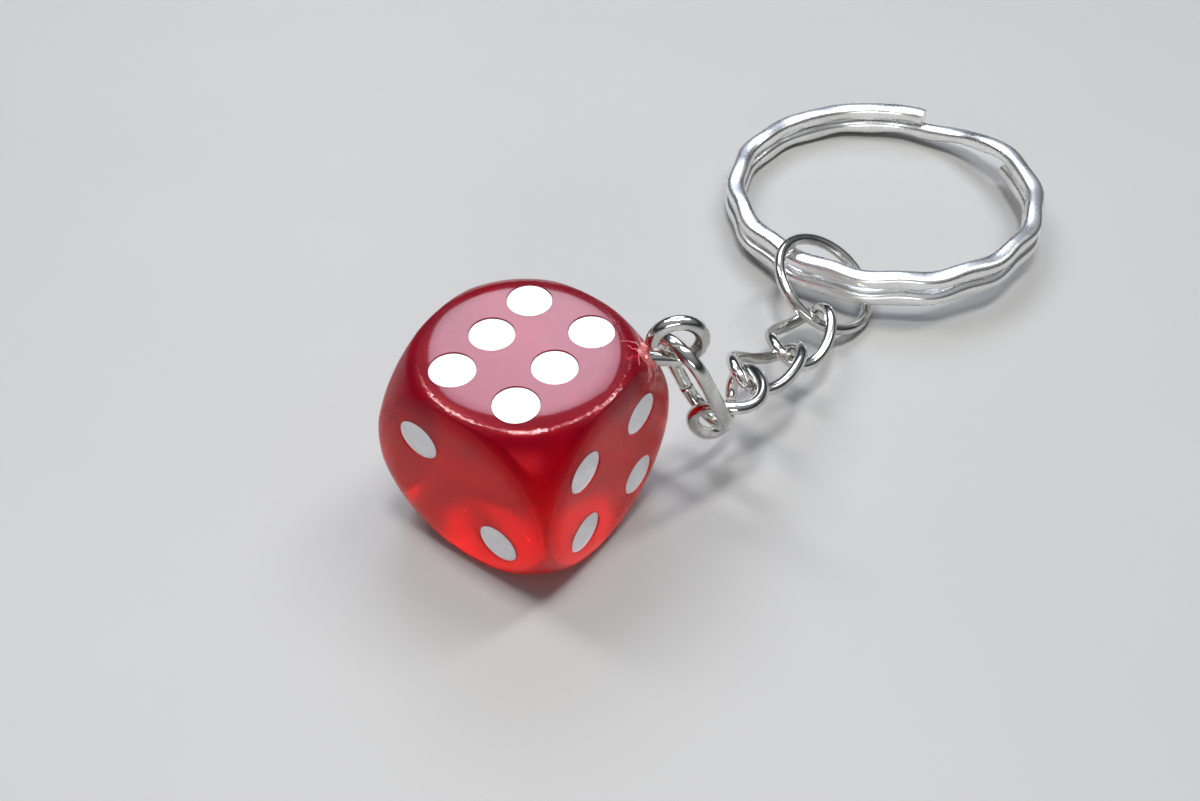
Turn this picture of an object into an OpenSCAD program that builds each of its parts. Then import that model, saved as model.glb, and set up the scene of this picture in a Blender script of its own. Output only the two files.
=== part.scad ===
// Die key chain: a clear red die with white pips and a screw eye in one corner, an open oval
// ring, three twisted chain links, an open round ring and a split key ring.
// Units are millimetres and +Z is up. The origin is the middle of the die's bottom face.
// The die's one is underneath, its six on top, its four faces +X and its two faces -Y.
// The chain and the key ring lie beside the die, as they lie on a table.

/* [Die] */
// Side of the die, from face to face
die_side = 16; // [15.5:0.1:16.4]
// Diameter of the ball that rounds the die's edges and corners
die_ball_d = 22.1; // [21.6:0.1:22.4]
// Diameter of a pip
pip_d = 3.4; // [2.8:0.1:3.6]
// Depth of the recess that holds a pip
pip_depth = 0.6; // [0.4:0.1:1]
// How far a pip's rim lies below the face
pip_sink = 0.08; // [0.04:0.02:0.12]
// How much the face of a pip is dished
pip_dish = 0.12; // [0.06:0.02:0.2]
// Distance of an outer pip from the face's centre lines
pip_step = 3.4; // [3:0.1:3.6]
// Distance of the six's two rows from their centre line
six_row = 2.8; // [2.5:0.1:3]
// Distance of the six's end pips from the middle of a row
six_step = 4.4; // [4:0.1:4.5]

/* [Screw eye] */
// Compass direction in which the screw eye leaves the die
eye_azimuth = 41.5; // [38:0.5:50]
// Rise of the screw eye above level
eye_rise = 35.5; // [30:0.5:40]
// Turn of the loop about the shank
eye_roll = 90; // [80:1:100]
// Distance from the middle of the die to the middle of the loop
eye_reach = 13.55; // [13.5:0.05:14]
// Wire diameter of the screw eye
eye_wire_d = 1.1; // [1:0.05:1.2]
// Radius of the loop at the middle of the wire
eye_loop_r = 1.8; // [1.7:0.05:1.9]
// Length of the threaded shank
shank_len = 7; // [5:0.5:8]
// Pitch of the thread
thread_pitch = 0.6; // [0.5:0.1:0.8]

/* [Oval ring] */
// Wire diameter of the oval ring
oval_wire_d = 1.1; // [1:0.05:1.2]
// Radius of its two bends at the middle of the wire
oval_bend_r = 2.25; // [2.2:0.05:2.3]
// Length of its two straight bars
oval_bar = 5.4; // [5.3:0.1:5.6]
// Middle of the oval ring
oval_at = [9.1, 8.8, 10.85];
// Turn of the oval ring about X, Y and Z
oval_turn = [20, -67.5, -127.5];

/* [Chain links] */
// Wire diameter of a chain link
link_wire_d = 1; // [0.9:0.05:1.05]
// Length of a link at the middle of the wire
link_len = 8.4; // [8.3:0.1:8.6]
// Width of a link at the middle of the wire
link_w = 4.8; // [4.7:0.1:4.9]
// Twist from one end of a link to the other, in degrees
link_twist = -75; // [-78:1:-72]
// Length of link one, which was opened and closed again, at the middle of the wire
link_one_len = 7.2; // [7.1:0.1:7.4]
// Width of link one at the middle of the wire
link_one_w = 6.3; // [6.2:0.1:6.4]
// Twist of link one, in degrees
link_one_twist = -89; // [-92:1:-86]
// Middle of link one
link_one_at = [10.2, 12.55, 6.05];
// Turn of link one about X, Y and Z
link_one_turn = [-50.5, 40.5, 113.5];
// Middle of link two
link_two_at = [10.3, 18.25, 5.75];
// Turn of link two about X, Y and Z
link_two_turn = [10.5, -21, -90];
// Middle of link three
link_three_at = [9.95, 25.05, 3.55];
// Turn of link three about X, Y and Z
link_three_turn = [-9.5, 11.5, 103.5];

/* [Round ring] */
// Wire diameter of the round ring
round_wire_d = 1; // [0.9:0.05:1.1]
// Radius of the round ring at the middle of the wire
round_r = 4.7; // [4.65:0.05:4.8]
// Width of the gap between its ends, in degrees
round_gap = 6; // [2:1:12]
// Middle of the round ring
round_at = [8.15, 32.5, 3];
// Turn of the round ring about X, Y and Z
round_turn = [28.5, 6.5, 91.5];

/* [Key ring] */
// Radius of the key ring at the middle of the wire
key_r = 14; // [13.9:0.1:14.1]
// Width of the key ring's wire, across the ring
key_wire_w = 1.7; // [1.5:0.1:1.8]
// Height of one coil
key_wire_h = 1.5; // [1.3:0.1:1.5]
// Gap between the two coils beside their ends
key_gap = 0.06; // [0.04:0.02:0.1]
// Extra gap between the coils opposite their ends
key_splay = 0.3; // [0:0.05:0.4]
// Hammered flats in one turn
key_flats = 14; // [12:1:20]
// Depth of the waves that the hammering leaves
key_wave = 0.24; // [0:0.02:0.3]
// Middle of the key ring
key_at = [6.45, 47.35, 2.45];
// Turn of the key ring about X, Y and Z
key_turn = [-1, -3.5, 0];

/* [Hidden] */

$fn = 64;

half = die_side / 2;
ball_r = die_ball_d / 2;
face_mid = [0, 0, half];

// Turns that carry the top face to each of the six faces
TO_TOP = [0, 0, 0];
TO_BOTTOM = [180, 0, 0];
TO_RIGHT = [90, 0, 90];
TO_LEFT = [90, 0, 270];
TO_FRONT = [90, 0, 0];
TO_BACK = [90, 0, 180];

// Places of the pips on each face
s = pip_step;
ONE = [[0, 0]];
TWO = [[-s, s], [s, -s]];
THREE = concat(ONE, TWO);
FOUR = [for (u = [-s, s], v = [-s, s]) [u, v]];
FIVE = concat(ONE, FOUR);
SIX = [for (u = [-six_row, six_row], v = [-six_step, 0, six_step]) [u, v]];

eye_wire_r = eye_wire_d / 2;
neck_reach = eye_loop_r + 0.8;
neck_angle = acos(eye_loop_r / neck_reach);
neck_leg = eye_loop_r * tan(neck_angle);
thread_root_r = 0.5;
thread_crest_r = 0.68;
glue_out_r = 1.3;
glue_h = 0.45;
shank_bore_r = 0.52;
// Angle, seen from the loop's middle, at which its free tip ends
tip_angle = 150;
// Collar between the neck and the thread
collar_r = 0.75;
collar_h = 0.75;
collar_sink = 0.3;
glue_in_r = collar_r + 0.01;

oval_gap = 0.12;
// Place of the gap along its bar, from the bar's middle
oval_gap_at = -2.3;

// How full a link's ends are: 1 is an ellipse, and less is squarer
link_fullness = 0.9;
link_steps = 56;
link_sides = 10;
// Half of a butt seam, in degrees round the link
seam_half = 1;
link_one_seam = 0;
link_two_seam = 20;
link_three_seam = 0;

// Angle of the middle of the gap between its ends
round_gap_at = 300;

// Angle over which the key ring's wire climbs from one coil to the other
key_climb = 42;
// Angle of the wire's lower end
key_end_at = 58;
// Angle between the rings of points along the key ring's wire
key_step = 6;

// Put a shape that is drawn on the top face onto another face
module on_face(turn) {
    translate(face_mid)
        rotate(turn)
            translate([0, 0, half])
                children();
}

// One copy of a shape at each place of a list
module at_each(places) {
    for (p = places)
        translate([p[0], p[1], 0])
            children();
}

// Put a shape drawn along +X, from the middle of the die outwards, on the screw eye's line
module on_eye_line() {
    translate(face_mid)
        rotate([0, 0, eye_azimuth])
            rotate([0, -eye_rise, 0])
                rotate([eye_roll, 0, 0])
                    children();
}

// Put a shape drawn about the loop's middle in its place
module at_eye_loop() {
    on_eye_line()
        translate([eye_reach, 0, 0])
            children();
}

// Recess for one pip, open at the face
module pip_recess() {
    translate([0, 0, -pip_depth])
        cylinder(h = pip_depth + 1, d = pip_d);
}

// One pip: a disc of paint with a dished face
module pip() {
    dish_r = (pow(pip_d / 2, 2) + pow(pip_dish, 2)) / (2 * pip_dish);
    color("white")
        difference() {
            translate([0, 0, -pip_depth])
                cylinder(h = pip_depth - pip_sink, d = pip_d);
            translate([0, 0, dish_r - pip_sink - pip_dish + 0.01])
                sphere(r = dish_r, $fn = 128);
        }
}

// All the pips of one face
module pips(turn, places) {
    on_face(turn)
        at_each(places)
            pip();
}

// The die: a cube whose edges and corners are rounded by a ball
module die_body() {
    color([0.75, 0.03, 0.05, 0.85])
        difference() {
            intersection() {
                translate([-half, -half, 0])
                    cube(die_side);
                translate(face_mid)
                    sphere(r = ball_r, $fn = 128);
            }
            on_face(TO_BOTTOM) at_each(ONE) pip_recess();
            on_face(TO_FRONT) at_each(TWO) pip_recess();
            on_face(TO_LEFT) at_each(THREE) pip_recess();
            on_face(TO_RIGHT) at_each(FOUR) pip_recess();
            on_face(TO_BACK) at_each(FIVE) pip_recess();
            on_face(TO_TOP) at_each(SIX) pip_recess();
            on_eye_line() {
                translate([eye_reach - neck_reach - shank_len, 0, 0])
                    rotate([0, 90, 0])
                        cylinder(h = shank_len + 2, r = shank_bore_r);
                translate([eye_reach - neck_reach - collar_sink, 0, 0])
                    rotate([0, 90, 0])
                        cylinder(h = 2, r = glue_in_r);
            }
        }
}

module pips_one() {
    pips(TO_BOTTOM, ONE);
}

module pips_two() {
    pips(TO_FRONT, TWO);
}

module pips_three() {
    pips(TO_LEFT, THREE);
}

module pips_four() {
    pips(TO_RIGHT, FOUR);
}

module pips_five() {
    pips(TO_BACK, FIVE);
}

module pips_six() {
    pips(TO_TOP, SIX);
}

// Outline of the threaded shank, turned about its own line: root, then one ridge per pitch
function thread_outline() = let (n = floor((shank_len - 1.6) / thread_pitch))
    concat(
        [[0, 0], [thread_root_r, 0]],
        [for (i = [0:n - 1]) let (z = 0.8 + i * thread_pitch) each [
            [thread_root_r, z],
            [thread_crest_r, z + 0.4 * thread_pitch],
            [thread_root_r, z + 0.8 * thread_pitch],
        ]],
        [[thread_root_r, shank_len - 0.6], [0.1, shank_len], [0, shank_len]]
    );

// The screw eye's wire above the die: a straight neck and an open loop
module eye_wire() {
    rotate([0, 0, 180 + neck_angle])
        rotate_extrude(angle = 180 - neck_angle + tip_angle)
            translate([eye_loop_r, 0])
                circle(r = eye_wire_r);
    translate([-neck_reach, 0, 0])
        rotate([0, 0, neck_angle - 90])
            rotate([0, 90, 0])
                cylinder(h = neck_leg, r = eye_wire_r);
}

// Collar where the neck meets the thread
module eye_collar() {
    translate([-neck_reach - collar_sink, 0, 0])
        rotate([0, 90, 0])
            cylinder(h = collar_h, r = collar_r);
}

module screw_eye() {
    color([0.8, 0.8, 0.82])
        at_eye_loop() {
            eye_wire();
            eye_collar();
            translate([-neck_reach, 0, 0])
                rotate([0, -90, 0])
                    rotate_extrude()
                        polygon(thread_outline());
        }
}

// Outline of the glue bead about the eye's line: it sits on the ball and thins outwards
function glue_outline() = concat(
    [for (i = [0:4]) let (r = glue_in_r + (glue_out_r - glue_in_r) * i / 4)
        [r, sqrt(ball_r * ball_r - r * r)]],
    [for (i = [3:-1:0]) let (r = glue_in_r + (glue_out_r - glue_in_r) * i / 4)
        [r, sqrt(ball_r * ball_r - r * r) + glue_h * cos(90 * i / 4)]]
);

// Bead of glue where the neck enters the die
module eye_glue() {
    color([0.85, 0.2, 0.2, 0.8])
        on_eye_line()
            difference() {
                rotate([0, 90, 0])
                    rotate_extrude()
                        polygon(glue_outline());
                translate([eye_reach - neck_reach, 0, 0])
                    rotate([0, 0, neck_angle - 90])
                        rotate([0, 90, 0])
                            cylinder(h = neck_leg, r = eye_wire_r + 0.01);
            }
}

// A stadium of round wire about the middle, with a narrow gap in one bar
module oval_wire(bar, bend_r, wire_r, gap, gap_at) {
    for (side = [0, 180])
        rotate([0, 0, side])
            translate([bar / 2, 0, 0])
                rotate([0, 0, -90])
                    rotate_extrude(angle = 180)
                        translate([bend_r, 0])
                            circle(r = wire_r);
    translate([-bar / 2, bend_r, 0])
        rotate([0, 90, 0])
            cylinder(h = bar, r = wire_r);
    for (stub = [[-bar / 2, gap_at - gap / 2], [gap_at + gap / 2, bar / 2]])
        translate([stub[0], -bend_r, 0])
            rotate([0, 90, 0])
                cylinder(h = stub[1] - stub[0], r = wire_r);
}

module oval_ring() {
    color([0.8, 0.8, 0.82])
        translate(oval_at)
            rotate(oval_turn)
                oval_wire(oval_bar, oval_bend_r, oval_wire_d / 2, oval_gap, oval_gap_at);
}

// Direction of a vector
function unit(v) = v / norm(v);

// A point of a twisted link at angle a round it. The width turns about the length by twist.
function link_point(a, len, w, twist) =
    let (
        c = cos(a),
        n = sin(a),
        x = len / 2 * sign(c) * pow(abs(c), link_fullness),
        y = w / 2 * sign(n) * pow(abs(n), link_fullness),
        turn = twist * x / len
    )
    [x, y * cos(turn), y * sin(turn)];

// One ring of points round a wire at p, which runs towards q, with its outside along out
function wire_ring(p, q, out, wide_r, high_r, sides) =
    let (
        along = unit(q - p),
        u = unit(out - (out * along) * along),
        v = cross(along, u)
    )
    [for (i = [0:sides - 1]) let (a = 360 * (i + 0.5) / sides)
        p + wide_r * cos(a) * u + high_r * sin(a) * v];

// Faces that join rings of points into a closed bar with flat ends
function bar_faces(rings, sides) = concat(
    [[for (i = [0:sides - 1]) i]],
    [for (r = [0:rings - 2], i = [0:sides - 1]) let (j = (i + 1) % sides)
        [r * sides + i, (r + 1) * sides + i, (r + 1) * sides + j, r * sides + j]],
    [[for (i = [sides - 1:-1:0]) (rings - 1) * sides + i]]
);

// Wire swept along a path; out gives the outside direction at each point of the path
module swept_wire(path, out, wide_r, high_r, sides) {
    last = len(path) - 1;
    rings = [for (i = [0:last])
        let (
            before = path[max(i - 1, 0)],
            after = path[min(i + 1, last)]
        )
        wire_ring(path[i], path[i] + after - before, out[i], wide_r, high_r, sides)];
    polyhedron(points = [for (r = rings) each r], faces = bar_faces(last + 1, sides), convexity = 8);
}

// A twisted link with a fine butt seam at angle seam
module twisted_link(len, w, twist, seam) {
    steps = link_steps;
    span = 360 - 2 * seam_half;
    path = [for (i = [0:steps])
        link_point(seam + seam_half + span * i / steps, len, w, twist)];
    color([0.8, 0.8, 0.82])
        swept_wire(path, path, link_wire_d / 2, link_wire_d / 2, link_sides);
}

module link_one() {
    translate(link_one_at)
        rotate(link_one_turn)
            twisted_link(link_one_len, link_one_w, link_one_twist, link_one_seam);
}

module link_two() {
    translate(link_two_at)
        rotate(link_two_turn)
            twisted_link(link_len, link_w, link_twist, link_two_seam);
}

module link_three() {
    translate(link_three_at)
        rotate(link_three_turn)
            twisted_link(link_len, link_w, link_twist, link_three_seam);
}

module round_ring() {
    color([0.8, 0.8, 0.82])
        translate(round_at)
            rotate(round_turn)
                rotate([0, 0, round_gap_at + round_gap / 2])
                    rotate_extrude(angle = 360 - round_gap)
                        translate([round_r, 0])
                            circle(r = round_wire_d / 2);
}

// Ease from 0 to 1 as x goes from 0 to 1
function ease(x) = let (c = min(max(x, 0), 1)) c * c * (3 - 2 * c);

// Height of the key ring's wire at angle a from its lower end. It climbs from the lower coil
// to the upper one over the last part of the first turn, and the coils splay apart opposite.
function key_z(a) =
    let (
        rise = (key_wire_h + key_gap) * ease((a - 360 + key_climb) / key_climb),
        splay = a > 360 ? key_splay * (1 - cos((a - 360) * 360 / (360 - key_climb))) / 2 : 0
    )
    rise + splay - (key_wire_h + key_gap) / 2;

// Distance of the wire from the ring's axis at angle a, with one wave for each hammered flat
function key_radius(a) = key_r + key_wave * cos(a * key_flats) / 2;

module key_ring() {
    turns = 720 - key_climb;
    steps = round(turns / key_step);
    path = [for (i = [0:steps]) let (a = turns * i / steps)
        [key_radius(a) * cos(a), -key_radius(a) * sin(a), key_z(a)]];
    out = [for (p = path) [p[0], p[1], 0]];
    color([0.8, 0.8, 0.82])
        translate(key_at)
            rotate(key_turn)
                rotate([0, 0, key_end_at])
                    swept_wire(path, out, key_wire_w / 2 / cos(22.5), key_wire_h / 2 / cos(22.5), 8);
}

die_body();
pips_one();
pips_two();
pips_three();
pips_four();
pips_five();
pips_six();
screw_eye();
eye_glue();
oval_ring();
link_one();
link_two();
link_three();
round_ring();
key_ring();
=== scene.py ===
"""Looks of the die key chain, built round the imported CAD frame.

The shapes are drawn in millimetres in the CAD's own frame and written to meshes in metres.
Sections: sizes, mesh helpers, material helpers, materials, die, screw eye, chain, key ring,
floor, lights and camera.
"""
import math

import bmesh
import bpy
import numpy as np
from mathutils import Matrix, Vector, noise


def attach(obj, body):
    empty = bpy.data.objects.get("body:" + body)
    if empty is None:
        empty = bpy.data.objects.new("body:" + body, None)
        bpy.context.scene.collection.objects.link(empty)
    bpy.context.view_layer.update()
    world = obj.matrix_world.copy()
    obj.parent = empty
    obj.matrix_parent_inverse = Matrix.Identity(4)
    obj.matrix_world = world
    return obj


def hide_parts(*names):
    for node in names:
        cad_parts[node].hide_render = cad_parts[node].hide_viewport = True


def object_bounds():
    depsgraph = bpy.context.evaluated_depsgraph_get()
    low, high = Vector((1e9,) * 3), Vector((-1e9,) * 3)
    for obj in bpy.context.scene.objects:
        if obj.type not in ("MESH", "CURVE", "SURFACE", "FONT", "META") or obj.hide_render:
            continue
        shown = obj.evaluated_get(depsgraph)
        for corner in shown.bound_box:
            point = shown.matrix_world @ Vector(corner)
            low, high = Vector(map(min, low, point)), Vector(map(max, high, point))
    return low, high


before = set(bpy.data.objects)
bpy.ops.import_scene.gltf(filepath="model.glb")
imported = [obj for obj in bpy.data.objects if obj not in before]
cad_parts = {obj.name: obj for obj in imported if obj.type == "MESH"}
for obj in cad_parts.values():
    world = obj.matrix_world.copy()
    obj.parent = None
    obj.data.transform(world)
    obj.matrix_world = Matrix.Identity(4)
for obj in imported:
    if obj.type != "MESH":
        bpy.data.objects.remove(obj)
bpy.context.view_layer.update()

MM = 0.001

# ---------------------------------------------------------------- sizes, in millimetres

DIE_SIDE = 16.0
# The ball that rounds the cube's corners, and how softly the two surfaces meet
BALL_R = 11.05
EDGE_BLEND = 1.1
# Distance from the die's middle at which the worn creases lie, and half their width
CREASE_REACH = 10.8
CREASE_HALF = 0.16
PIP_R = 1.7
PIP_DEPTH = 0.6
PAINT_CLEARANCE = 0.03
PIP_STEP = 3.4
PIP_SIDES = 56
SIX_ROW = 2.8
SIX_STEP = 4.4
FACE_MID = np.array([0.0, 0.0, DIE_SIDE / 2])

# The screw eye points from the middle of the die through its +X +Y +Z corner; angles in degrees
EYE_AZIMUTH = 41.5
EYE_RISE = 35.5
EYE_ROLL = 90.0
EYE_REACH = 13.55
EYE_LOOP_R = 1.8
EYE_NECK_REACH = 2.6
EYE_WIRE_R = 0.55
EYE_TIP_ANGLE = 150.0
SHANK_LEN = 7.0
NECK_LAP = 0.3
THREAD_PITCH = 0.6
THREAD_ROOT_R = 0.5
THREAD_RIDGE = 0.17
SHOULDER_LEN = 0.75
SHOULDER_SWELL = 0.19
TIP_TAPER = 0.7
GLUE_BORE_R = 0.6
GLUE_REACH = 1.15
GLUE_RISE = 0.42
GLUE_ROOT = 0.25
WISPS = 11
WISP_STEPS = 24

OVAL_WIRE_R = 0.55
OVAL_BEND_R = 2.25
OVAL_BAR = 5.4
OVAL_GAP_AT = -2.3
OVAL_GAP = 0.12

LINK_WIRE_R = 0.5
LINK_FULLNESS = 0.9
LINK_SEAM_HALF = 1.0

ROUND_WIRE_R = 0.5
ROUND_R = 4.7
ROUND_GAP = 6.0
ROUND_GAP_AT = 300.0
ROUND_MARKS_AT = 120.0
ROUND_MARKS = 30

KEY_R = 14.0
KEY_WIRE_W = 1.7
KEY_WIRE_H = 1.5
KEY_GAP = 0.06
KEY_SPLAY = 0.3
KEY_FLATS = 14
KEY_WAVE = 0.24
KEY_CLIMB = 42.0
KEY_END_AT = 58.0

# Where each piece of the chain lies: its middle, and its turn about X, Y and Z in degrees
OVAL_POSE = ((9.1, 8.8, 10.85), (20.0, -67.5, -127.5))
ROUND_POSE = ((8.15, 32.5, 3.0), (28.5, 6.5, 91.5))
KEY_POSE = ((6.45, 47.35, 2.45), (-1.0, -3.5, 0.0))
# Each link: length, width, twist, seam angle, middle and turn
LINKS = {
    "link_one": (7.2, 6.3, -89.0, 0.0, (10.2, 12.55, 6.05), (-50.5, 40.5, 113.5)),
    "link_two": (8.4, 4.8, -75.0, 20.0, (10.3, 18.25, 5.75), (10.5, -21.0, -90.0)),
    "link_three": (8.4, 4.8, -75.0, 0.0, (9.95, 25.05, 3.55), (-9.5, 11.5, 103.5)),
}

# The camera: where it stands, then its heading from +X, its drop below level and its roll
CAMERA_AT = (42.57, -51.81, 82.49)
CAMERA_TURN = (124.71, 46.96, 0.99)
CAMERA_LENS = 40.1

# What the lights look at, in metres, and how far from it they stand
LIGHT_TARGET = Vector((0.003, 0.010, 0.008))
LIGHT_DISTANCE = 0.42


# ---------------------------------------------------------------- mesh helpers

def turn_matrix(turn):
    """The matrix of a turn about X, then Y, then Z, in degrees."""
    cx, cy, cz = (math.cos(math.radians(t)) for t in turn)
    sx, sy, sz = (math.sin(math.radians(t)) for t in turn)
    about_x = np.array([[1, 0, 0], [0, cx, -sx], [0, sx, cx]])
    about_y = np.array([[cy, 0, sy], [0, 1, 0], [-sy, 0, cy]])
    about_z = np.array([[cz, -sz, 0], [sz, cz, 0], [0, 0, 1]])
    return about_z @ about_y @ about_x


def placed(points, pose):
    """Points in a piece's own frame, carried to where the piece lies."""
    middle, turn = pose
    return np.asarray(points) @ turn_matrix(turn).T + np.array(middle)


def new_object(name, points, faces, material, smooth=True):
    """A mesh object from points in millimetres."""
    mesh = bpy.data.meshes.new(name)
    corners = [tuple(float(c) * MM for c in p) for p in points]
    mesh.from_pydata(corners, [], [tuple(f) for f in faces])
    mesh.update()
    for polygon in mesh.polygons:
        polygon.use_smooth = smooth
    piece = bpy.data.objects.new(name, mesh)
    bpy.context.scene.collection.objects.link(piece)
    piece.data.materials.append(material)
    return piece


def sharpen(piece, degrees):
    """Keep edges sharper than this angle crisp under smooth shading."""
    mesh = piece.data
    bm = bmesh.new()
    bm.from_mesh(mesh)
    bmesh.ops.recalc_face_normals(bm, faces=bm.faces)
    limit = math.radians(degrees)
    for edge in bm.edges:
        edge.smooth = not (len(edge.link_faces) == 2 and edge.calc_face_angle(0.0) > limit)
    bm.to_mesh(mesh)
    bm.free()


def hand_over(piece, node, body):
    """The piece stands for a CAD node, which it hides, and rides on its body."""
    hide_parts(node)
    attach(piece, body)
    return piece


def unit(v):
    """The vector at length 1."""
    return v / np.linalg.norm(v)


def sweep(path, outs, section, scales=None):
    """Points and faces of a bar: the section (points in out, side order) along an open path."""
    path = np.asarray(path, float)
    count = len(path)
    points = []
    for i in range(count):
        along = unit(path[min(i + 1, count - 1)] - path[max(i - 1, 0)])
        out = unit(outs[i] - (outs[i] @ along) * along)
        side = np.cross(along, out)
        scale = 1.0 if scales is None else scales[i]
        local = section(i) if callable(section) else section
        for a, b in local:
            points.append(path[i] + scale * (a * out + b * side))
    sides = len(points) // count
    faces = [list(range(sides))[::-1]]
    for i in range(count - 1):
        for k in range(sides):
            n = (k + 1) % sides
            faces.append([i * sides + k, i * sides + n, (i + 1) * sides + n, (i + 1) * sides + k])
    faces.append([(count - 1) * sides + k for k in range(sides)])
    return points, faces


def superellipse(wide_r, high_r, power, sides=24):
    """A section between an ellipse (power 2) and a rectangle (large power)."""
    ring = []
    for k in range(sides):
        a = 2 * math.pi * (k + 0.5) / sides
        c, s = math.cos(a), math.sin(a)
        ring.append((
            wide_r * math.copysign(abs(c) ** (2 / power), c),
            high_r * math.copysign(abs(s) ** (2 / power), s),
        ))
    return ring


def cut_ends(count, rounds, shrink):
    """Scales along a wire that round off its two cut ends over a few sections."""
    scales = [1.0] * count
    for i in range(rounds):
        t = 1 - (i + 0.5) / rounds
        value = 1 - shrink * t * t
        scales[i] = value
        scales[count - 1 - i] = value
    return scales


# ---------------------------------------------------------------- material helpers

def new_material(name):
    """A material with its node tree and its Principled shader."""
    material = bpy.data.materials.new(name)
    material.use_nodes = True
    tree = material.node_tree
    shader = tree.nodes["Principled BSDF"]
    return material, tree, shader


def node(tree, kind, **settings):
    """A new node with some of its settings."""
    made = tree.nodes.new(kind)
    for key, value in settings.items():
        setattr(made, key, value)
    return made


def noise_of(tree, scale, detail=3.0, roughness=0.55, stretch=(1, 1, 1)):
    """A noise texture in object coordinates, which are in metres."""
    where = node(tree, "ShaderNodeTexCoord")
    mapping = node(tree, "ShaderNodeMapping")
    mapping.inputs["Scale"].default_value = stretch
    texture = node(tree, "ShaderNodeTexNoise")
    texture.inputs["Scale"].default_value = scale
    texture.inputs["Detail"].default_value = detail
    texture.inputs["Roughness"].default_value = roughness
    tree.links.new(where.outputs["Object"], mapping.inputs["Vector"])
    tree.links.new(mapping.outputs["Vector"], texture.inputs["Vector"])
    return texture.outputs["Fac"]


def ramp(tree, source, stops):
    """A colour ramp: stops are (place, colour)."""
    made = node(tree, "ShaderNodeValToRGB")
    band = made.color_ramp
    while len(band.elements) < len(stops):
        band.elements.new(0.5)
    for element, (place, colour) in zip(band.elements, stops):
        element.position = place
        element.color = (*colour, 1) if len(colour) == 3 else colour
    tree.links.new(source, made.inputs["Fac"])
    return made.outputs["Color"]


def spread(tree, source, low, high, start=0.3, end=0.7):
    """Map a noise value to a range."""
    made = node(tree, "ShaderNodeMapRange")
    made.inputs["From Min"].default_value = start
    made.inputs["From Max"].default_value = end
    made.inputs["To Min"].default_value = low
    made.inputs["To Max"].default_value = high
    tree.links.new(source, made.inputs["Value"])
    return made.outputs["Result"]


def height_in_die(tree):
    """Height above the table, from 0 at the die's bottom face to 1 at its top face."""
    where = node(tree, "ShaderNodeTexCoord")
    split = node(tree, "ShaderNodeSeparateXYZ")
    tree.links.new(where.outputs["Object"], split.inputs["Vector"])
    return spread(tree, split.outputs["Z"], 0.0, 1.0, 0.0, DIE_SIDE * MM)


def upward(tree):
    """How far the surface faces up in the object's own frame, from -1 to 1."""
    where = node(tree, "ShaderNodeTexCoord")
    split = node(tree, "ShaderNodeSeparateXYZ")
    tree.links.new(where.outputs["Normal"], split.inputs["Vector"])
    return split.outputs["Z"]


def crease_mask(tree):
    """1 along the worn creases where a flat face meets the rounded edges, 0 elsewhere.

    The creases are the only places whose distance from the die's middle is just this.
    """
    where = node(tree, "ShaderNodeTexCoord")
    shift = node(tree, "ShaderNodeVectorMath", operation="SUBTRACT")
    shift.inputs[1].default_value = (0, 0, DIE_SIDE / 2 * MM)
    reach = node(tree, "ShaderNodeVectorMath", operation="LENGTH")
    off = node(tree, "ShaderNodeMath", operation="SUBTRACT")
    off.inputs[1].default_value = CREASE_REACH * MM
    size = node(tree, "ShaderNodeMath", operation="ABSOLUTE")
    tree.links.new(where.outputs["Object"], shift.inputs[0])
    tree.links.new(shift.outputs["Vector"], reach.inputs[0])
    tree.links.new(reach.outputs["Value"], off.inputs[0])
    tree.links.new(off.outputs["Value"], size.inputs[0])
    return spread(tree, size.outputs["Value"], 1.0, 0.0, 0.0, CREASE_HALF * MM)


def bump(tree, shader, heights, strength, distance):
    """Chain of bumps from a list of (height, weight) into the normals of the shader and its coat."""
    previous = None
    for height, weight in heights:
        made = node(tree, "ShaderNodeBump")
        made.inputs["Strength"].default_value = strength * weight
        made.inputs["Distance"].default_value = distance
        tree.links.new(height, made.inputs["Height"])
        if previous is not None:
            tree.links.new(previous, made.inputs["Normal"])
        previous = made.outputs["Normal"]
    tree.links.new(previous, shader.inputs["Normal"])
    tree.links.new(previous, shader.inputs["Coat Normal"])


# ---------------------------------------------------------------- materials

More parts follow.
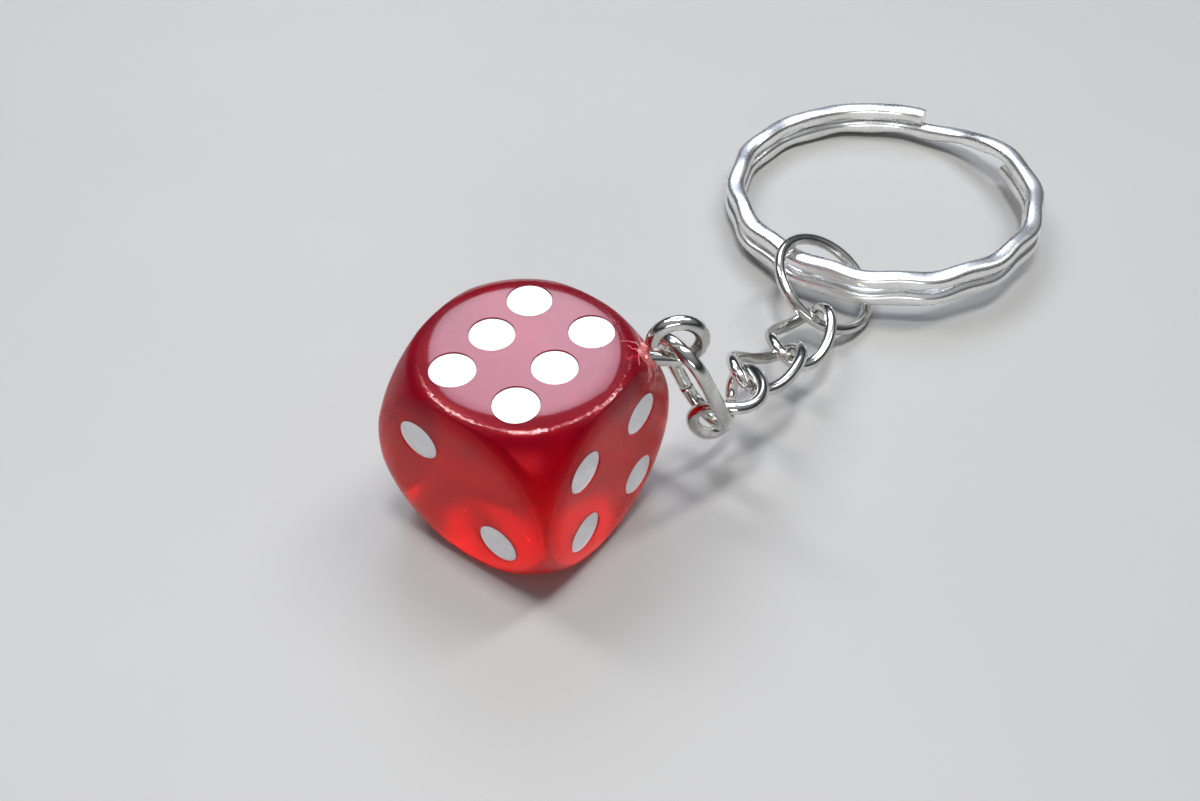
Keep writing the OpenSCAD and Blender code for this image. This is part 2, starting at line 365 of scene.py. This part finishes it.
def die_plastic():
    """Deep red clear plastic: cloudy inside, polished outside, with scratches and a worn crease; its
    body colour is painted brighter orange-red towards the bottom as a painted glow and darker towards
    the top.
    """
    material, tree, shader = new_material("die_red_clear_plastic")
    cloud = noise_of(tree, 260, 3, 0.5)
    # Painted light: the base colour is painted bright orange-red at the bottom, a painted glow
    # standing for light gathered low in the plastic, and darker towards the top; a little noise blurs
    # the change-over.
    painted_glow_height = node(tree, "ShaderNodeMath", operation="ADD")
    tree.links.new(height_in_die(tree), painted_glow_height.inputs[0])
    tree.links.new(spread(tree, cloud, -0.06, 0.06), painted_glow_height.inputs[1])
    colour = ramp(tree, painted_glow_height.outputs["Value"], [
        (0.0, (1.0, 0.035, 0.012)),
        (0.3, (0.97, 0.014, 0.008)),
        (0.65, (0.80, 0.004, 0.006)),
        (0.97, (0.27, 0.003, 0.020))])
    tree.links.new(colour, shader.inputs["Base Color"])
    shader.inputs["Transmission Weight"].default_value = 0.66
    shader.inputs["IOR"].default_value = 1.45
    shader.inputs["Specular Tint"].default_value = (1.0, 0.06, 0.08, 1)
    tree.links.new(spread(tree, cloud, 0.20, 0.28), shader.inputs["Roughness"])
    tree.links.new(spread(tree, upward(tree), 0.0, 0.9, 0.86, 0.97), shader.inputs["Coat Weight"])
    shader.inputs["Coat Roughness"].default_value = 0.08
    shader.inputs["Coat IOR"].default_value = 1.46
    scratch_a = noise_of(tree, 700, 3, 0.6, (0.12, 1.6, 1))
    scratch_b = noise_of(tree, 800, 3, 0.6, (1.5, 0.15, 0.9))
    grain = noise_of(tree, 4200, 2, 0.5)
    sparkle = node(tree, "ShaderNodeMath", operation="MULTIPLY")
    tree.links.new(grain, sparkle.inputs[0])
    tree.links.new(crease_mask(tree), sparkle.inputs[1])
    heights = [(scratch_a, 0.3), (scratch_b, 0.3), (grain, 0.25), (sparkle.outputs["Value"], 4.0)]
    bump(tree, shader, heights, 0.22, 0.00004)
    absorb = node(tree, "ShaderNodeVolumeAbsorption")
    absorb.inputs["Color"].default_value = (0.97, 0.06, 0.03, 1)
    absorb.inputs["Density"].default_value = 200.0
    output = tree.nodes["Material Output"]
    tree.links.new(absorb.outputs["Volume"], output.inputs["Volume"])
    return material


def pip_paint():
    """White set paint with a faint brushed grain."""
    material, tree, shader = new_material("pip_white_paint")
    mottle = noise_of(tree, 900, 4, 0.6)
    colour = ramp(tree, mottle, [(0.3, (0.78, 0.79, 0.81)), (0.7, (0.90, 0.90, 0.92))])
    tree.links.new(colour, shader.inputs["Base Color"])
    tree.links.new(spread(tree, mottle, 0.38, 0.55), shader.inputs["Roughness"])
    grain = noise_of(tree, 2600, 2, 0.6, (1, 0.15, 1))
    bump(tree, shader, [(grain, 1.0)], 0.25, 0.00005)
    return material


def plated_wire():
    """Bright nickel plating with drawn-wire streaks and small dull spots."""
    material, tree, shader = new_material("plated_wire")
    shader.inputs["Metallic"].default_value = 1.0
    cloud = noise_of(tree, 420, 4, 0.6)
    colour = ramp(tree, cloud, [(0.3, (0.44, 0.43, 0.40)), (0.6, (0.74, 0.74, 0.71))])
    tree.links.new(colour, shader.inputs["Base Color"])
    tree.links.new(spread(tree, cloud, 0.20, 0.07), shader.inputs["Roughness"])
    streaks = noise_of(tree, 1500, 3, 0.6)
    dents = noise_of(tree, 480, 2, 0.5)
    bump(tree, shader, [(streaks, 0.35), (dents, 0.6)], 0.5, 0.00005)
    return material


def hammered_steel():
    """Flattened and plated steel wire: bright, with soft waves and small pits."""
    material, tree, shader = new_material("hammered_steel")
    shader.inputs["Metallic"].default_value = 1.0
    cloud = noise_of(tree, 260, 4, 0.6)
    colour = ramp(tree, cloud, [(0.3, (0.82, 0.81, 0.79)), (0.65, (0.96, 0.96, 0.95))])
    tree.links.new(colour, shader.inputs["Base Color"])
    tree.links.new(spread(tree, cloud, 0.34, 0.22), shader.inputs["Roughness"])
    pits = noise_of(tree, 1900, 3, 0.6)
    waves = noise_of(tree, 190, 2, 0.5)
    bump(tree, shader, [(pits, 0.3), (waves, 0.9)], 0.5, 0.00008)
    return material


def set_glue():
    """Clear set glue over red plastic: wet-looking, with trapped haze."""
    material, tree, shader = new_material("set_glue")
    haze = noise_of(tree, 1600, 4, 0.6)
    colour = ramp(tree, haze, [(0.35, (0.80, 0.12, 0.12)), (0.7, (0.98, 0.52, 0.50))])
    tree.links.new(colour, shader.inputs["Base Color"])
    shader.inputs["Transmission Weight"].default_value = 0.55
    shader.inputs["IOR"].default_value = 1.47
    tree.links.new(spread(tree, haze, 0.08, 0.3), shader.inputs["Roughness"])
    bump(tree, shader, [(haze, 1.0)], 0.5, 0.00006)
    return material


def pale_floor():
    """Plain pale studio surface with a faint paper grain."""
    material, tree, shader = new_material("pale_floor")
    cloud = noise_of(tree, 6, 5, 0.6)
    colour = ramp(tree, cloud, [(0.3, (0.30, 0.297, 0.291)), (0.7, (0.33, 0.326, 0.319))])
    tree.links.new(colour, shader.inputs["Base Color"])
    shader.inputs["Roughness"].default_value = 0.6
    grain = noise_of(tree, 900, 3, 0.6)
    bump(tree, shader, [(grain, 1.0)], 0.15, 0.0001)
    return material


PLASTIC = die_plastic()
PAINT = pip_paint()
WIRE = plated_wire()
STEEL = hammered_steel()
GLUE = set_glue()


# ---------------------------------------------------------------- die

def soft_min(a, b, width):
    """The smaller of two lengths, with a rounded change-over of the given width."""
    h = max(width - abs(a - b), 0.0) / width
    return min(a, b) - h * h * width / 4


def die_radius(direction):
    """Distance from the die's middle to its surface: a cube cut by a ball, with a soft edge."""
    flat = DIE_SIDE / 2 / max(abs(direction[0]), abs(direction[1]), abs(direction[2]))
    return soft_min(flat, BALL_R, EDGE_BLEND)


# Each face: the direction it looks in, and the face's own X and Y, as in the CAD
FACES = {
    "pips_six": ((0, 0, 1), (1, 0, 0), (0, 1, 0)),
    "pips_one": ((0, 0, -1), (1, 0, 0), (0, -1, 0)),
    "pips_four": ((1, 0, 0), (0, 1, 0), (0, 0, 1)),
    "pips_three": ((-1, 0, 0), (0, -1, 0), (0, 0, 1)),
    "pips_two": ((0, -1, 0), (1, 0, 0), (0, 0, 1)),
    "pips_five": ((0, 1, 0), (-1, 0, 0), (0, 0, 1)),
}

P = PIP_STEP
PLACES = {
    "pips_one": [(0, 0)],
    "pips_two": [(-P, P), (P, -P)],
    "pips_three": [(0, 0), (-P, P), (P, -P)],
    "pips_four": [(u, v) for u in (-P, P) for v in (-P, P)],
    "pips_five": [(0, 0)] + [(u, v) for u in (-P, P) for v in (-P, P)],
    "pips_six": [(u, v) for u in (-SIX_ROW, SIX_ROW) for v in (-SIX_STEP, 0, SIX_STEP)],
}


def on_face(name, u, v, lift):
    """A point over a face of the die, lift millimetres out of it."""
    look, across, up = (np.array(a, float) for a in FACES[name])
    return FACE_MID + look * (DIE_SIDE / 2 + lift) + across * u + up * v


def die_shell():
    """The die's outside as six warped grids, welded."""
    cells = 72
    points, faces, index = [], [], {}
    for look, across, up in FACES.values():
        look, across, up = (np.array(a, float) for a in (look, across, up))
        for i in range(cells):
            for j in range(cells):
                corners = []
                for di, dj in ((0, 0), (1, 0), (1, 1), (0, 1)):
                    u = math.tan(math.pi / 4 * (2 * (i + di) / cells - 1))
                    v = math.tan(math.pi / 4 * (2 * (j + dj) / cells - 1))
                    ray = unit(look + u * across + v * up)
                    point = FACE_MID + ray * die_radius(ray)
                    key = tuple(np.round(point, 4))
                    if key not in index:
                        index[key] = len(points)
                        points.append(point)
                    corners.append(index[key])
                faces.append(corners)
    return new_object("die_body_shell", points, faces, PLASTIC)


def cutter(name, points, faces):
    """A closed mesh used only to cut another."""
    made = new_object(name, points, faces, PLASTIC)
    sharpen(made, 30)
    return made


def cut(piece, tool):
    """Cut the tool out of the piece, then delete the tool."""
    change = piece.modifiers.new("cut", "BOOLEAN")
    change.operation = "DIFFERENCE"
    change.solver = "EXACT"
    change.object = tool
    with bpy.context.temp_override(object=piece, active_object=piece):
        bpy.ops.object.modifier_apply(modifier=change.name)
    bpy.data.objects.remove(tool)


def pip_cutters():
    """All the pip recesses as one mesh of separate discs with a small rounded bottom edge."""
    points, faces = [], []
    sides = PIP_SIDES
    profile = [(PIP_R, 1.0), (PIP_R, 0.0), (PIP_R, -PIP_DEPTH + 0.06), (PIP_R - 0.06, -PIP_DEPTH)]
    for name, places in PLACES.items():
        look, across, up = (np.array(a, float) for a in FACES[name])
        for u, v in places:
            first = len(points)
            for r, lift in profile:
                for k in range(sides):
                    a = 2 * math.pi * k / sides
                    points.append(on_face(name, u + r * math.cos(a), v + r * math.sin(a), lift))
            for row in range(len(profile) - 1):
                for k in range(sides):
                    n = (k + 1) % sides
                    here, below = first + row * sides, first + (row + 1) * sides
                    faces.append([here + k, below + k, below + n, here + n])
            faces.append([first + k for k in range(sides)])
            faces.append([first + (len(profile) - 1) * sides + k for k in range(sides)][::-1])
    return cutter("pip_cutters", points, faces)


def make_die():
    """The die's body with its pip recesses."""
    shell = die_shell()
    cut(shell, pip_cutters())
    sharpen(shell, 28)
    hand_over(shell, "die_body", "die")


def make_pips():
    """Paint in each recess: a dished disc with a softly rounded, slightly uneven rim."""
    sides = PIP_SIDES
    paint_foot = -PIP_DEPTH + PAINT_CLEARANCE
    rings = [(0.0, -0.2), (0.45, -0.198), (0.9, -0.19), (1.25, -0.18), (1.5, -0.17)]
    rings += [(1.59, -0.15), (1.65, -0.12), (1.682, -0.15)]
    for name, places in PLACES.items():
        points, faces = [], []
        for u, v in places:
            first = len(points)
            for r, lift in rings[1:] + [(1.68, paint_foot)]:
                for k in range(sides):
                    a = 2 * math.pi * k / sides
                    c, s = math.cos(a), math.sin(a)
                    wobble = 1 + 0.006 * noise.noise(Vector((3 * c + u, 3 * s + v, 1.7)))
                    points.append(on_face(name, u + r * wobble * c, v + r * wobble * s, lift))
            rows = len(rings)
            points.append(on_face(name, u, v, rings[0][1]))
            top = len(points) - 1
            points.append(on_face(name, u, v, paint_foot))
            bottom = len(points) - 1
            for k in range(sides):
                n = (k + 1) % sides
                faces.append([top, first + k, first + n])
                for row in range(rows - 1):
                    here, below = first + row * sides, first + (row + 1) * sides
                    faces.append([here + k, below + k, below + n, here + n])
                last = first + (rows - 1) * sides
                faces.append([bottom, last + n, last + k])
        piece = new_object(name + "_paint", points, faces, PAINT)
        sharpen(piece, 50)
        hand_over(piece, name, "die")


# ---------------------------------------------------------------- screw eye

def eye_frame():
    """Matrix of the screw eye's line: local X runs from the die's middle out of its corner."""
    about_line = turn_matrix((EYE_ROLL, 0, 0))
    rise = turn_matrix((0, -EYE_RISE, 0))
    return turn_matrix((0, 0, EYE_AZIMUTH)) @ rise @ about_line


def on_eye(points):
    """Points drawn about the loop's middle, carried to the screw eye."""
    return (np.asarray(points) + np.array([EYE_REACH, 0, 0])) @ eye_frame().T + FACE_MID


def eye_wire_path():
    """Neck and open loop: from the die, tangent onto the loop, round to its free tip."""
    neck = math.degrees(math.acos(EYE_LOOP_R / EYE_NECK_REACH))
    start = np.array([-EYE_NECK_REACH, 0.0, 0.0])
    touch = math.radians(180 + neck)
    foot = EYE_LOOP_R * np.array([math.cos(touch), math.sin(touch), 0])
    path = [start + (foot - start) * i / 10 for i in range(10)]
    for i in range(121):
        a = math.radians(180 + neck + (180 - neck + EYE_TIP_ANGLE) * i / 120)
        path.append(EYE_LOOP_R * np.array([math.cos(a), math.sin(a), 0]))
    return np.array(path)


def make_screw_eye():
    """The loop and neck as one bar, and the threaded shank that runs into the die."""
    path = eye_wire_path()
    world = on_eye(path)
    middle = on_eye([[0, 0, 0]])[0]
    outs = [p - middle for p in world]
    outs[:10] = [world[10] - middle] * 10
    scales = cut_ends(len(path), 3, 0.3)
    scales[:3] = [1.0] * 3
    points, faces = sweep(world, outs, superellipse(EYE_WIRE_R, EYE_WIRE_R * 0.97, 2.15), scales)
    spin = 28
    per_turn = 12
    buried = SHANK_LEN + NECK_LAP
    total = int(buried / THREAD_PITCH * per_turn)
    shank = []
    for i in range(total + 1):
        along = i / total * buried
        row = []
        for k in range(spin):
            a = 2 * math.pi * k / spin
            wave = (along / THREAD_PITCH - k / spin) % 1.0
            ridge = max(0.0, 1 - abs(wave - 0.5) / 0.32)
            r = THREAD_ROOT_R + THREAD_RIDGE * ridge
            if along < SHOULDER_LEN:
                r = EYE_WIRE_R + SHOULDER_SWELL * math.sin(math.pi * along / SHOULDER_LEN) ** 2
            if along > SHANK_LEN - TIP_TAPER:
                r *= max(0.12, buried - along)
            row.append([-EYE_NECK_REACH + NECK_LAP - along, r * math.cos(a), r * math.sin(a)])
        shank.append(row)
    first = len(points)
    flat = on_eye([p for row in shank for p in row])
    points = list(points) + list(flat)
    for i in range(total):
        for k in range(spin):
            n = (k + 1) % spin
            here, there = first + i * spin, first + (i + 1) * spin
            faces.append([here + k, there + k, there + n, here + n])
    faces.append([first + k for k in range(spin)])
    faces.append([first + total * spin + k for k in range(spin)][::-1])
    piece = new_object("screw_eye_wire", points, faces, WIRE)
    sharpen(piece, 35)
    hand_over(piece, "screw_eye", "die")


def make_glue():
    """An uneven collar of glue round the neck, with runs over the corner."""
    spin, rows = 48, 12
    inner_r = GLUE_BORE_R + 0.02
    root = math.sqrt(BALL_R ** 2 - inner_r ** 2) - GLUE_ROOT - EYE_REACH
    points, faces = [], []
    for i in range(rows):
        t = i / (rows - 1)
        for k in range(spin):
            a = 2 * math.pi * k / spin
            wander = noise.noise(Vector((2.1 * math.cos(a), 2.1 * math.sin(a), 0.4)))
            reach = GLUE_REACH + 0.35 * wander
            r = inner_r + (reach - inner_r) * t
            lift = (GLUE_RISE + 0.12 * wander) * math.cos(math.pi / 2 * t) ** 0.8
            base = math.sqrt(BALL_R ** 2 - r * r)
            x = base - 0.03 + lift - EYE_REACH
            points.append([x, r * math.cos(a), r * math.sin(a)])
    for k in range(spin):
        a = 2 * math.pi * k / spin
        points.append([root, GLUE_BORE_R * math.cos(a), GLUE_BORE_R * math.sin(a)])
    for k in range(spin):
        n = (k + 1) % spin
        for i in range(rows - 1):
            faces.append([i * spin + k, (i + 1) * spin + k, (i + 1) * spin + n, i * spin + n])
        faces.append([(rows - 1) * spin + k, rows * spin + k, rows * spin + n, (rows - 1) * spin + n])
        faces.append([rows * spin + k, k, n, rows * spin + n])
    piece = new_object("eye_glue_bead", on_eye(points), faces, GLUE)
    sharpen(piece, 60)
    hand_over(piece, "eye_glue", "die")


def make_glue_wisps():
    """Thin strings and smears of glue that dried on the die round the screw eye."""
    line = eye_frame() @ np.array([1.0, 0.0, 0.0])
    side = unit(np.cross([0.0, 0.0, 1.0], line))
    rise = np.cross(line, side)
    points, faces = [], []
    for wisp in range(WISPS):
        start = 360 * wisp / WISPS + 40 * noise.noise(Vector((wisp * 1.7, 0.3, 0.9)))
        reach = 1.9 + 1.5 * abs(noise.noise(Vector((wisp * 2.3, 5.1, 0.2))))
        bend = 55 * noise.noise(Vector((wisp * 3.1, 1.9, 7.7)))
        wide = 0.07 + 0.10 * abs(noise.noise(Vector((wisp * 0.9, 8.3, 2.5))))
        path, outs = [], []
        for i in range(WISP_STEPS + 1):
            t = i / WISP_STEPS
            a = math.radians(start + bend * t * t * 2 + 9 * noise.noise(Vector((4 * t, wisp, 3.3))))
            away = 0.85 + (reach - 0.85) * t
            tilt = away / BALL_R
            spoke = math.cos(a) * side + math.sin(a) * rise
            ray = unit(line * math.cos(tilt) + math.sin(tilt) * spoke)
            path.append(FACE_MID + ray * (die_radius(ray) + 0.01))
            outs.append(np.cross(ray, path[-1] - path[-2]) if i else side)
        outs[0] = outs[1]
        scales = []
        for i in range(WISP_STEPS + 1):
            uneven = 0.25 * noise.noise(Vector((i * 0.4, wisp, 1.1)))
            scales.append(1.0 - 0.8 * (i / WISP_STEPS) ** 2 + uneven)
        strand, skin = sweep(path, outs, superellipse(wide, 0.045, 2.0, 10), scales)
        faces += [[k + len(points) for k in face] for face in skin]
        points += strand
    piece = new_object("eye_glue_wisps", points, faces, GLUE)
    sharpen(piece, 60)
    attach(piece, "die")


# ---------------------------------------------------------------- chain

def make_oval_ring():
    """A stadium of wire, cut on one bar and pinched where the ends meet."""
    half = OVAL_BAR / 2
    path, steps = [], 36
    path += [[x, -OVAL_BEND_R, 0] for x in np.linspace(OVAL_GAP_AT + OVAL_GAP / 2, half, 26)[:-1]]
    for i in range(steps):
        a = math.radians(-90 + 180 * i / steps)
        path.append([half + OVAL_BEND_R * math.cos(a), OVAL_BEND_R * math.sin(a), 0])
    path += [[x, OVAL_BEND_R, 0] for x in np.linspace(half, -half, 26)[:-1]]
    for i in range(steps):
        a = math.radians(90 + 180 * i / steps)
        path.append([-half + OVAL_BEND_R * math.cos(a), OVAL_BEND_R * math.sin(a), 0])
    path += [[x, -OVAL_BEND_R, 0] for x in np.linspace(-half, OVAL_GAP_AT - OVAL_GAP / 2, 6)]
    path = np.array(path)
    world = placed(path, OVAL_POSE)
    outs = [turn_matrix(OVAL_POSE[1]) @ np.array([0.0, 0.0, 1.0])] * len(path)
    scales = cut_ends(len(path), 3, 0.22)
    points, faces = sweep(world, outs, superellipse(OVAL_WIRE_R, OVAL_WIRE_R, 2.25), scales)
    piece = new_object("oval_ring_wire", points, faces, WIRE)
    sharpen(piece, 40)
    hand_over(piece, "oval_ring", "oval_ring")


def link_point(angle, length, width, twist):
    """A point of a twisted link, as in the CAD."""
    c, s = math.cos(math.radians(angle)), math.sin(math.radians(angle))
    x = length / 2 * math.copysign(abs(c) ** LINK_FULLNESS, c)
    y = width / 2 * math.copysign(abs(s) ** LINK_FULLNESS, s)
    turn = math.radians(twist * x / length)
    return np.array([x, y * math.cos(turn), y * math.sin(turn)])


def make_link(name):
    """One twisted link. Its wire is a little flattened on the sides that were rolled."""
    length, width, twist, seam, middle, turn = LINKS[name]
    steps = 176
    span = 360 - 2 * LINK_SEAM_HALF
    start = seam + LINK_SEAM_HALF
    path = [link_point(start + span * i / steps, length, width, twist) for i in range(steps + 1)]
    world = placed(path, (middle, turn))
    outs = [p - np.array(middle) for p in world]
    section = superellipse(LINK_WIRE_R, LINK_WIRE_R * 0.97, 2.3)
    points, faces = sweep(world, outs, section, cut_ends(len(path), 3, 0.2))
    piece = new_object(name + "_wire", points, faces, WIRE)
    sharpen(piece, 40)
    hand_over(piece, name, name)


def make_round_ring():
    """An open round ring with tool marks along its inside and cut ends."""
    steps = 220
    path, outs = [], []
    for i in range(steps + 1):
        a = math.radians(ROUND_GAP_AT + ROUND_GAP / 2 + (360 - ROUND_GAP) * i / steps)
        path.append([ROUND_R * math.cos(a), ROUND_R * math.sin(a), 0])
    world = placed(path, ROUND_POSE)
    middle = np.array(ROUND_POSE[0])
    outs = [p - middle for p in world]
    base = superellipse(ROUND_WIRE_R, ROUND_WIRE_R, 2.1)

    def marked(i):
        """The section at step i: small bites on the inner side, fading out along the ring."""
        a = ROUND_GAP_AT + 360 * i / steps
        marked_here = math.exp(-(((a % 360) - ROUND_MARKS_AT) / 50) ** 2)
        bite = 0.05 * marked_here * max(0.0, math.sin(math.radians(a * ROUND_MARKS)))
        return [(x + (bite if x < -0.3 else 0.0), y) for x, y in base]

    points, faces = sweep(world, outs, marked, cut_ends(len(path), 2, 0.12))
    piece = new_object("round_ring_wire", points, faces, WIRE)
    sharpen(piece, 40)
    hand_over(piece, "round_ring", "round_ring")


# ---------------------------------------------------------------- key ring

def ease(x):
    """From 0 to 1 with a soft start and end."""
    c = min(max(x, 0.0), 1.0)
    return c * c * (3 - 2 * c)


def key_height(angle):
    """Height of the key ring's wire at an angle, as in the CAD."""
    rise = (KEY_WIRE_H + KEY_GAP) * ease((angle - 360 + KEY_CLIMB) / KEY_CLIMB)
    splay = 0.0
    if angle > 360:
        splay = KEY_SPLAY * (1 - math.cos(math.radians((angle - 360) * 360 / (360 - KEY_CLIMB)))) / 2
    return rise + splay - (KEY_WIRE_H + KEY_GAP) / 2


def make_key_ring():
    """Two coils of flattened wire with soft hammered flats on the outside and top."""
    turns, steps = 720 - KEY_CLIMB, 620
    path, outs, angles = [], [], []
    middle, turn = KEY_POSE
    place = turn_matrix(turn)
    for i in range(steps + 1):
        a = turns * i / steps
        r = KEY_R + KEY_WAVE * math.cos(math.radians(a * KEY_FLATS)) / 2
        t = math.radians(KEY_END_AT - a)
        path.append([r * math.cos(t), r * math.sin(t), key_height(a)])
        outs.append(place @ np.array([math.cos(t), math.sin(t), 0.0]))
        angles.append(a)
    world = placed(path, KEY_POSE)

    def section(i):
        wave = math.cos(math.radians(angles[i] * KEY_FLATS))
        wide = KEY_WIRE_W / 2 * (1 + 0.03 * wave)
        high = KEY_WIRE_H / 2 * (0.915 - 0.085 * wave)
        return superellipse(wide, high, 2.7, 28)

    points, faces = sweep(world, outs, section, cut_ends(len(path), 3, 0.12))
    piece = new_object("key_ring_coils", points, faces, STEEL)
    sharpen(piece, 40)
    hand_over(piece, "key_ring", "key_ring")


# ---------------------------------------------------------------- floor, lights and camera

def make_floor():
    """A wide flat floor just under the object."""
    reach = 3000.0
    floor = new_object(
        "floor", [(-reach, -reach, 0), (reach, -reach, 0), (reach, reach, 0), (-reach, reach, 0)],
        [(0, 1, 2, 3)], pale_floor(), smooth=False)
    floor.location.z = min(0.0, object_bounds()[0][2] - 0.00002)


def aim(thing, target):
    """Point a light's or camera's -Z axis at a target."""
    thing.rotation_euler = (Vector(target) - thing.location).to_track_quat("-Z", "Y").to_euler()


def softbox(name, azimuth, elevation, wide, high, power, cone=180.0, colour=(1, 1, 1)):
    """A rectangular light that looks at the object. Azimuth is from +X, sizes are in metres."""
    light = bpy.data.lights.new(name, "AREA")
    light.shape = "RECTANGLE"
    light.size = wide
    light.size_y = high
    light.energy = power
    light.color = colour
    light.spread = math.radians(cone)
    lamp = bpy.data.objects.new(name, light)
    a, e = math.radians(azimuth), math.radians(elevation)
    lamp.location = LIGHT_TARGET + LIGHT_DISTANCE * Vector((
        math.cos(e) * math.cos(a), math.cos(e) * math.sin(a), math.sin(e)))
    bpy.context.scene.collection.objects.link(lamp)
    aim(lamp, LIGHT_TARGET)


def make_lights():
    """Soft lamps, and a sky that is bright above and pale at the horizon with a dark band between."""
    softbox("back_softbox", 128, 45, 0.24, 0.20, 0.11, 62, (0.74, 0.82, 1.0))
    softbox("top_lamp", 304, 87, 0.08, 0.08, 1.15)
    softbox("left_strip", 180, 58, 0.05, 0.20, 0.8)
    softbox("right_strip", 67, 62, 0.05, 0.20, 0.8)
    softbox("front_fill", 304, 20, 0.20, 0.10, 0.35)
    world = bpy.data.worlds.new("studio")
    world.use_nodes = True
    background = world.node_tree.nodes["Background"]
    background.inputs["Color"].default_value = (0.80, 0.84, 0.90, 1)
    where = node(world.node_tree, "ShaderNodeTexCoord")
    split = node(world.node_tree, "ShaderNodeSeparateXYZ")
    world.node_tree.links.new(where.outputs["Generated"], split.inputs["Vector"])
    sky = ramp(world.node_tree, split.outputs["Z"], [
        (0.0, (0.26, 0.26, 0.26)),
        (0.09, (0.24, 0.24, 0.24)),
        (0.15, (0.03, 0.03, 0.03)),
        (0.34, (0.05, 0.05, 0.05)),
        (0.8, (0.46, 0.46, 0.46))])
    world.node_tree.links.new(sky, background.inputs["Strength"])
    bpy.context.scene.world = world


def make_camera():
    """The photograph's viewing angle: a short telephoto look down across the die's front edge."""
    camera = bpy.data.cameras.new("camera")
    camera.sensor_fit = "HORIZONTAL"
    camera.sensor_width = 36.0
    camera.lens = CAMERA_LENS
    camera.clip_start = 0.002
    camera.clip_end = 20.0
    eye = bpy.data.objects.new("camera", camera)
    bpy.context.scene.collection.objects.link(eye)
    heading, drop, roll = (math.radians(a) for a in CAMERA_TURN)
    level = math.cos(drop)
    forward = Vector((level * math.cos(heading), level * math.sin(heading), -math.sin(drop)))
    right = Vector((math.sin(heading), -math.cos(heading), 0))
    up = right.cross(forward)
    across = math.cos(roll) * right + math.sin(roll) * up
    upright = math.cos(roll) * up - math.sin(roll) * right
    turn = Matrix((across, upright, -forward)).transposed().to_4x4()
    eye.matrix_world = Matrix.Translation(Vector(CAMERA_AT) * MM) @ turn
    bpy.context.scene.camera = eye


make_die()
make_pips()
make_screw_eye()
make_glue()
make_glue_wisps()
make_oval_ring()
for link in LINKS:
    make_link(link)
make_round_ring()
make_key_ring()
make_floor()
make_lights()
make_camera()
bpy.context.scene.view_settings.view_transform = "Standard"
